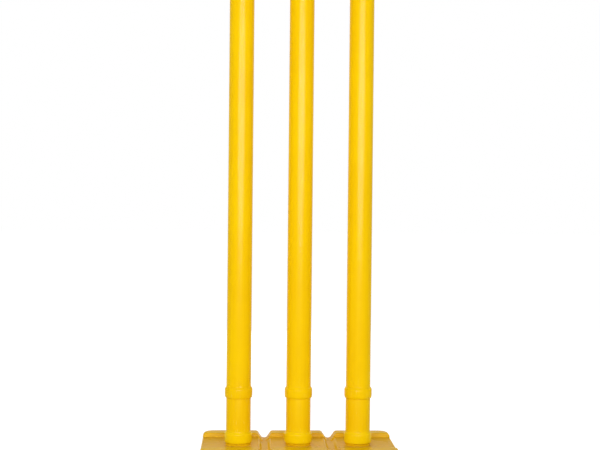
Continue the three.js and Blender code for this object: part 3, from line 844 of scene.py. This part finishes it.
def tube_plastic(colours):
    """Drawn yellow tube: faint lengthwise lines, cloudy tone, rub marks at the joints, and a paler
    yellow painted at the feet as painted light.
    """
    tree = material_tree("drawn yellow plastic")
    cloud = tree.noise(scale=14, detail=3, roughness=0.55)
    lines = tree.noise(scale=420, roughness=0.6, stretch=(1, 1, 0.012))
    smudge = tree.patches(low=0.52, high=0.72, scale=38, detail=4, roughness=0.62,
                          stretch=(1, 1, 0.35))
    tone = (0.62 * cloud + 0.38 * lines).clamped()
    colour = tree.mix(tree.ramp(tone, low=0.30, high=0.72), colours.tube, colours.tube_deep)
    height = tree.split(tree.coordinates())[2]
    scratches = tree.patches(low=0.64, high=0.74, scale=900, roughness=0.7,
                             stretch=(1, 1, 0.06))
    near_joint = 1 - tree.ramp(height, *JOINT_FADE)
    # Paler yellow painted on the collars near the base: painted light against the shade that the
    # base casts there
    painted_foot_light = 1 - tree.ramp(height, *PAINTED_FOOT_LIGHT_FADE)
    colour = tree.mix(painted_foot_light * 0.8, colour, colours.foot)
    colour = tree.mix(scratches * near_joint * 0.35, colour, colours.scuff)
    ripple = tree.noise(scale=60, stretch=(1, 1, 0.3))
    normal = tree.bump(ripple, strength=0.22, distance=0.0004)
    normal = tree.bump(lines, strength=0.12, distance=0.00012, under=normal)
    normal = tree.bump(scratches, strength=0.10, distance=0.00004, under=normal)
    return tree.finish(colour, 0.16 + 0.06 * smudge + 0.04 * cloud, normal, specular=0.03)


def moulded_plastic(piece, colours, roughness, grain):
    """Moulded yellow plastic for caps and bails: fine grain, cloudy tone and small nicks."""
    tree = material_tree(f"moulded yellow {piece} plastic")
    cloud = tree.noise(scale=45, detail=3, roughness=0.55)
    colour = tree.mix(tree.ramp(cloud, low=0.35, high=0.70), colours.tube, colours.tube_deep)
    nicks = tree.patches(low=0.66, high=0.74, scale=520, detail=3, roughness=0.7)
    colour = tree.mix(nicks * 0.3, colour, colours.scuff)
    pores = tree.noise(scale=1500)
    normal = tree.bump(pores, strength=grain, distance=0.00006)
    normal = tree.bump(cloud, strength=0.15, distance=0.0003, under=normal)
    return tree.finish(colour, roughness + 0.08 * cloud + 0.10 * nicks, normal, specular=0.035)


def base_plastic(colours, sizes):
    """Deep yellow moulding: spark-eroded grain, a tan of dirt and painted reflection on the decks,
    pale rubs on the banks.
    """
    tree = material_tree("moulded yellow base plastic")
    cloud = tree.noise(scale=16, detail=4, roughness=0.6)
    colour = tree.mix(tree.ramp(cloud, low=0.32, high=0.70), colours.base, colours.base_deep)
    height = tree.split(tree.coordinates())[2]
    # Tan mixed onto the decks' low, up-facing ground: partly settled dirt, partly a painted
    # reflection of the pale surroundings in place of the base's faint gloss
    dust_and_sheen_from, dust_and_sheen_to = (sizes.deck_height + above for above in DUST_AND_SHEEN_FADE)
    low_ground = 1 - tree.ramp(height, dust_and_sheen_from, dust_and_sheen_to)
    lift = tree.split(tree.coordinates("Normal"))[2]
    facing_up = tree.ramp(lift, low=0.70, high=0.97)
    drift = 0.62 + 0.5 * (tree.noise(scale=55, detail=4, roughness=0.65) - 0.5)
    deck_dust_and_sheen = (low_ground * facing_up * drift * 0.85).clamped()
    colour = tree.mix(deck_dust_and_sheen, colour, colours.dust_and_sheen)
    bank_top = tree.ramp(height, sizes.bank_height - BANK_RUB, sizes.bank_height)
    rub = tree.patches(low=0.60, high=0.74, scale=240, detail=4, roughness=0.7,
                       stretch=(1, 0.4, 1))
    colour = tree.mix(bank_top * rub * 0.30, colour, colours.scuff)
    pores = tree.noise(scale=1300, roughness=0.55)
    normal = tree.bump(pores, strength=0.30, distance=0.00008)
    normal = tree.bump(cloud, strength=0.12, distance=0.0005, under=normal)
    return tree.finish(colour, 0.20 + 0.06 * cloud + 0.04 * low_ground, normal, specular=0.01)


def floor_plastic(colours):
    """Matt underside of the base: flow marks and scrapes from the ground."""
    tree = material_tree("matt yellow floor plastic")
    flow = tree.noise(scale=30, detail=5, roughness=0.65, stretch=(0.3, 1, 1))
    colour = tree.mix(tree.ramp(flow, low=0.35, high=0.70), colours.base, colours.base_deep)
    scrape = tree.patches(low=0.62, high=0.72, scale=700, detail=3, roughness=0.7,
                          stretch=(0.08, 1, 1))
    colour = tree.mix(scrape * 0.4, colour, colours.dust_and_sheen)
    pores = tree.noise(scale=1100)
    normal = tree.bump(pores, strength=0.35, distance=0.00008)
    normal = tree.bump(scrape, strength=0.2, distance=0.00006, under=normal)
    return tree.finish(colour, 0.58 + 0.12 * scrape, normal, specular=0.05)


def foot_rubber(colours):
    """Black rubber: fine pores and a grey bloom of dust."""
    tree = material_tree("black foot rubber")
    bloom = tree.patches(low=0.45, high=0.75, scale=260, detail=4, roughness=0.65)
    colour = tree.mix(bloom * 0.25, colours.rubber, colours.dust_and_sheen)
    pores = tree.noise(scale=2400, roughness=0.6)
    normal = tree.bump(pores, strength=0.4, distance=0.00006)
    return tree.finish(colour, 0.78 + 0.14 * bloom, normal, specular=0.18)


def zinc_steel(colours):
    """Zinc-plated steel: mottled spangle and a faint bump."""
    tree = material_tree("zinc plated steel")
    spangle = tree.noise(scale=900, detail=3, roughness=0.6)
    colour = tree.mix(tree.ramp(spangle, low=0.4, high=0.7), colours.zinc, colours.zinc_deep)
    normal = tree.bump(spangle, strength=0.15, distance=0.00004)
    return tree.finish(colour, 0.30 + 0.18 * spangle, normal, metallic=1.0)


# Operators

class WICKET_OT_base(bpy.types.Operator):
    """Moulded base with its banks, sunk decks, valleys and three bosses"""
    bl_idname = "wicket.base"
    bl_label = "Moulded base"

    def execute(self, context):
        sizes = context.scene.wicket_base
        stub = boss(sizes, context.scene.wicket_tubes)
        bosses = [placed(stub, f"{side}_socket_tube") for side in SIDES]
        make_piece("moulded_base", joined(base_skin(sizes), *bosses), "base",
                   base_plastic(context.scene.wicket_colours, sizes), ["base_shell"])
        return {"FINISHED"}


class WICKET_OT_underside(bpy.types.Operator):
    """Finishes of the floor plate and its screws, and the rubber feet"""
    bl_idname = "wicket.underside"
    bl_label = "Underside and feet"

    def execute(self, context):
        sizes, colours = context.scene.wicket_base, context.scene.wicket_colours
        rubber, plate, steel = foot_rubber(colours), floor_plastic(colours), zinc_steel(colours)
        for name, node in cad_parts.items():
            if name.startswith("rubber_foot"):
                make_piece(name.replace("rubber_", "soft_"), rubber_foot(name, sizes), "base",
                           rubber, [name])
            elif name.startswith("floor_screw") or name == "base_floor":
                for material_slot in node.material_slots:
                    material_slot.material = plate if name == "base_floor" else steel
        return {"FINISHED"}


class WICKET_OT_tubes(bpy.types.Operator):
    """Socket tubes on the base and the long stump tubes that plug over them"""
    bl_idname = "wicket.tubes"
    bl_label = "Tubes"

    def execute(self, context):
        tubes = context.scene.wicket_tubes
        plastic = tube_plastic(context.scene.wicket_colours)
        for side in SIDES:
            make_piece(f"{side}_lower_tube", socket_tube(side, tubes), "base",
                       plastic, [f"{side}_socket_tube"])
            make_piece(f"{side}_long_tube", stump_tube(side, tubes), f"{side}_stump",
                       plastic, [f"{side}_stump_tube"])
        return {"FINISHED"}


class WICKET_OT_caps(bpy.types.Operator):
    """Domed caps with the groove that the bails lie in"""
    bl_idname = "wicket.caps"
    bl_label = "Caps"

    def execute(self, context):
        tubes, top = context.scene.wicket_tubes, context.scene.wicket_top
        plastic = moulded_plastic("cap", context.scene.wicket_colours, roughness=0.28, grain=0.20)
        for side in SIDES:
            make_piece(f"{side}_grooved_cap", stump_cap(side, top, tubes), f"{side}_stump",
                       plastic, [f"{side}_stump_cap"])
        return {"FINISHED"}


class WICKET_OT_bails(bpy.types.Operator):
    """Turned bails, each lying in the grooves of two stumps"""
    bl_idname = "wicket.bails"
    bl_label = "Bails"

    def execute(self, context):
        top = context.scene.wicket_top
        plastic = moulded_plastic("bail", context.scene.wicket_colours, roughness=0.30, grain=0.25)
        for side in ("left", "right"):
            make_piece(f"{side}_turned_bail", bail(side, top), f"{side}_bail",
                       plastic, [f"{side}_bail"])
        return {"FINISHED"}


class WICKET_OT_studio(bpy.types.Operator):
    """Pale floor, light panels, even fill light and the camera"""
    bl_idname = "wicket.studio"
    bl_label = "Studio"

    def execute(self, context):
        studio = context.scene.wicket_studio
        self.floor(studio)
        self.world(context, studio)
        self.panel("key_panel", studio.key, studio.key_panel, -1)
        self.panel("back_panel", studio.back, studio.key_panel, 1)
        self.panel("gloss_panel", studio.gloss, studio.gloss_panel, -1, in_gloss=True)
        self.camera(context, studio)
        context.scene.view_settings.view_transform = "Standard"
        return {"FINISHED"}

    def floor(self, studio):
        """Plain to the fill light. Where it is seen it glows, and its lit part shows the shadow."""
        half = studio.floor_size / 2
        mesh = bpy.data.meshes.new("studio_floor")
        mesh.from_pydata([(-half, -half, 0), (half, -half, 0), (half, half, 0), (-half, half, 0)],
                         [], [(0, 1, 2, 3)])
        tree = material_tree("pale floor")
        plain, lit = (tree.add("ShaderNodeBsdfDiffuse", {"Color": (white, white, white, 1.0)})
                      for white in (studio.floor_white, studio.floor_lit))
        glow = tree.add("ShaderNodeEmission", {"Color": WHITE, "Strength": studio.floor_glow})
        bright = tree.add("ShaderNodeAddShader", {0: lit, 1: glow})
        tree.surface(tree.add("ShaderNodeMixShader", {0: self.seen(tree), 1: plain, 2: bright}))
        mesh.materials.append(tree.owner)
        floor = new_object("studio_floor", mesh)

    def seen(self, tree):
        """1 for camera, glossy and transmission rays, and 0 for those that carry the fill light."""
        node = tree.nodes.new("ShaderNodeLightPath")
        rays = [Value(tree, node.outputs[name])
                for name in ("Is Camera Ray", "Is Glossy Ray", "Is Transmission Ray")]
        return (rays[0] + rays[1] + rays[2]).clamped()

    def world(self, context, studio):
        """White where it is seen, and for the fill a light that is stronger from front and back."""
        world = bpy.data.worlds.new("studio_world")
        tree = Tree(world)
        depth = tree.split(tree.coordinates("Generated"))[1]
        strength = studio.fill + studio.depth_fill * tree.maths("ABSOLUTE", depth)
        fill, white = (tree.add("ShaderNodeBackground", {"Color": WHITE, "Strength": light})
                       for light in (strength, 1.0))
        mixed = tree.add("ShaderNodeMixShader", {0: self.seen(tree), 1: fill, 2: white})
        tree.surface(mixed, "ShaderNodeOutputWorld")
        context.scene.world = world

    def panel(self, name, radiance, place, side, in_gloss=False):
        """Lamp before (-1) or behind (1) the row, not seen by the camera: oval for gloss alone."""
        left, right, foot, top, away = place
        data = bpy.data.lights.new(name, "AREA")
        data.shape = "ELLIPSE" if in_gloss else "RECTANGLE"
        data.size, data.size_y = right - left, top - foot
        area = data.size * data.size_y * (math.pi / 4 if in_gloss else 1)
        data.energy = radiance * math.pi * area
        lamp = new_object(name, data)
        lamp.location = ((left + right) / 2, side * away, (foot + top) / 2)
        lamp.rotation_euler = (-side * QUARTER, 0, 0)
        lamp.visible_camera = False
        lamp.visible_diffuse = not in_gloss
        lamp.visible_glossy = in_gloss

    def camera(self, context, studio):
        data = bpy.data.cameras.new("photo_camera")
        data.sensor_width = 36.0
        data.lens = studio.focal_length
        data.clip_end = 100.0
        camera = new_object("photo_camera", data)
        camera.matrix_world = (
            Matrix.Translation((studio.camera_x, studio.camera_y, studio.camera_z))
            @ Matrix.Rotation(-studio.camera_yaw, 4, "Z")
            @ Matrix.Rotation(QUARTER - studio.camera_pitch, 4, "X")
            @ Matrix.Rotation(studio.camera_roll, 4, "Z"))
        context.scene.camera = camera


BUILDERS = (WICKET_OT_base, WICKET_OT_underside, WICKET_OT_tubes, WICKET_OT_caps,
            WICKET_OT_bails, WICKET_OT_studio)
GROUPS = {"wicket_tubes": WicketTubeSizes, "wicket_base": WicketBaseSizes,
          "wicket_top": WicketTopSizes, "wicket_colours": WicketColours,
          "wicket_studio": WicketStudio}


class WICKET_PT_panel(bpy.types.Panel):
    """Lists the builders of the wicket and their sizes"""
    bl_idname = "WICKET_PT_panel"
    bl_label = "Wicket"
    bl_space_type = "VIEW_3D"
    bl_region_type = "UI"
    bl_category = "Wicket"

    def draw(self, context):
        for builder in BUILDERS:
            self.layout.operator(builder.bl_idname)
        for name, group in GROUPS.items():
            box = self.layout.box()
            for prop in group.__annotations__:
                box.prop(getattr(context.scene, name), prop)


def register():
    for name, group in GROUPS.items():
        bpy.utils.register_class(group)
        setattr(bpy.types.Scene, name, bpy.props.PointerProperty(type=group))
    for builder in BUILDERS:
        bpy.utils.register_class(builder)
    bpy.utils.register_class(WICKET_PT_panel)


def unregister():
    bpy.utils.unregister_class(WICKET_PT_panel)
    for builder in reversed(BUILDERS):
        bpy.utils.unregister_class(builder)
    for name, group in reversed(GROUPS.items()):
        delattr(bpy.types.Scene, name)
        bpy.utils.unregister_class(group)


def main():
    register()
    bpy.ops.wicket.base()
    bpy.ops.wicket.underside()
    bpy.ops.wicket.tubes()
    bpy.ops.wicket.caps()
    bpy.ops.wicket.bails()
    bpy.ops.wicket.studio()


if __name__ == "__main__":
    main()
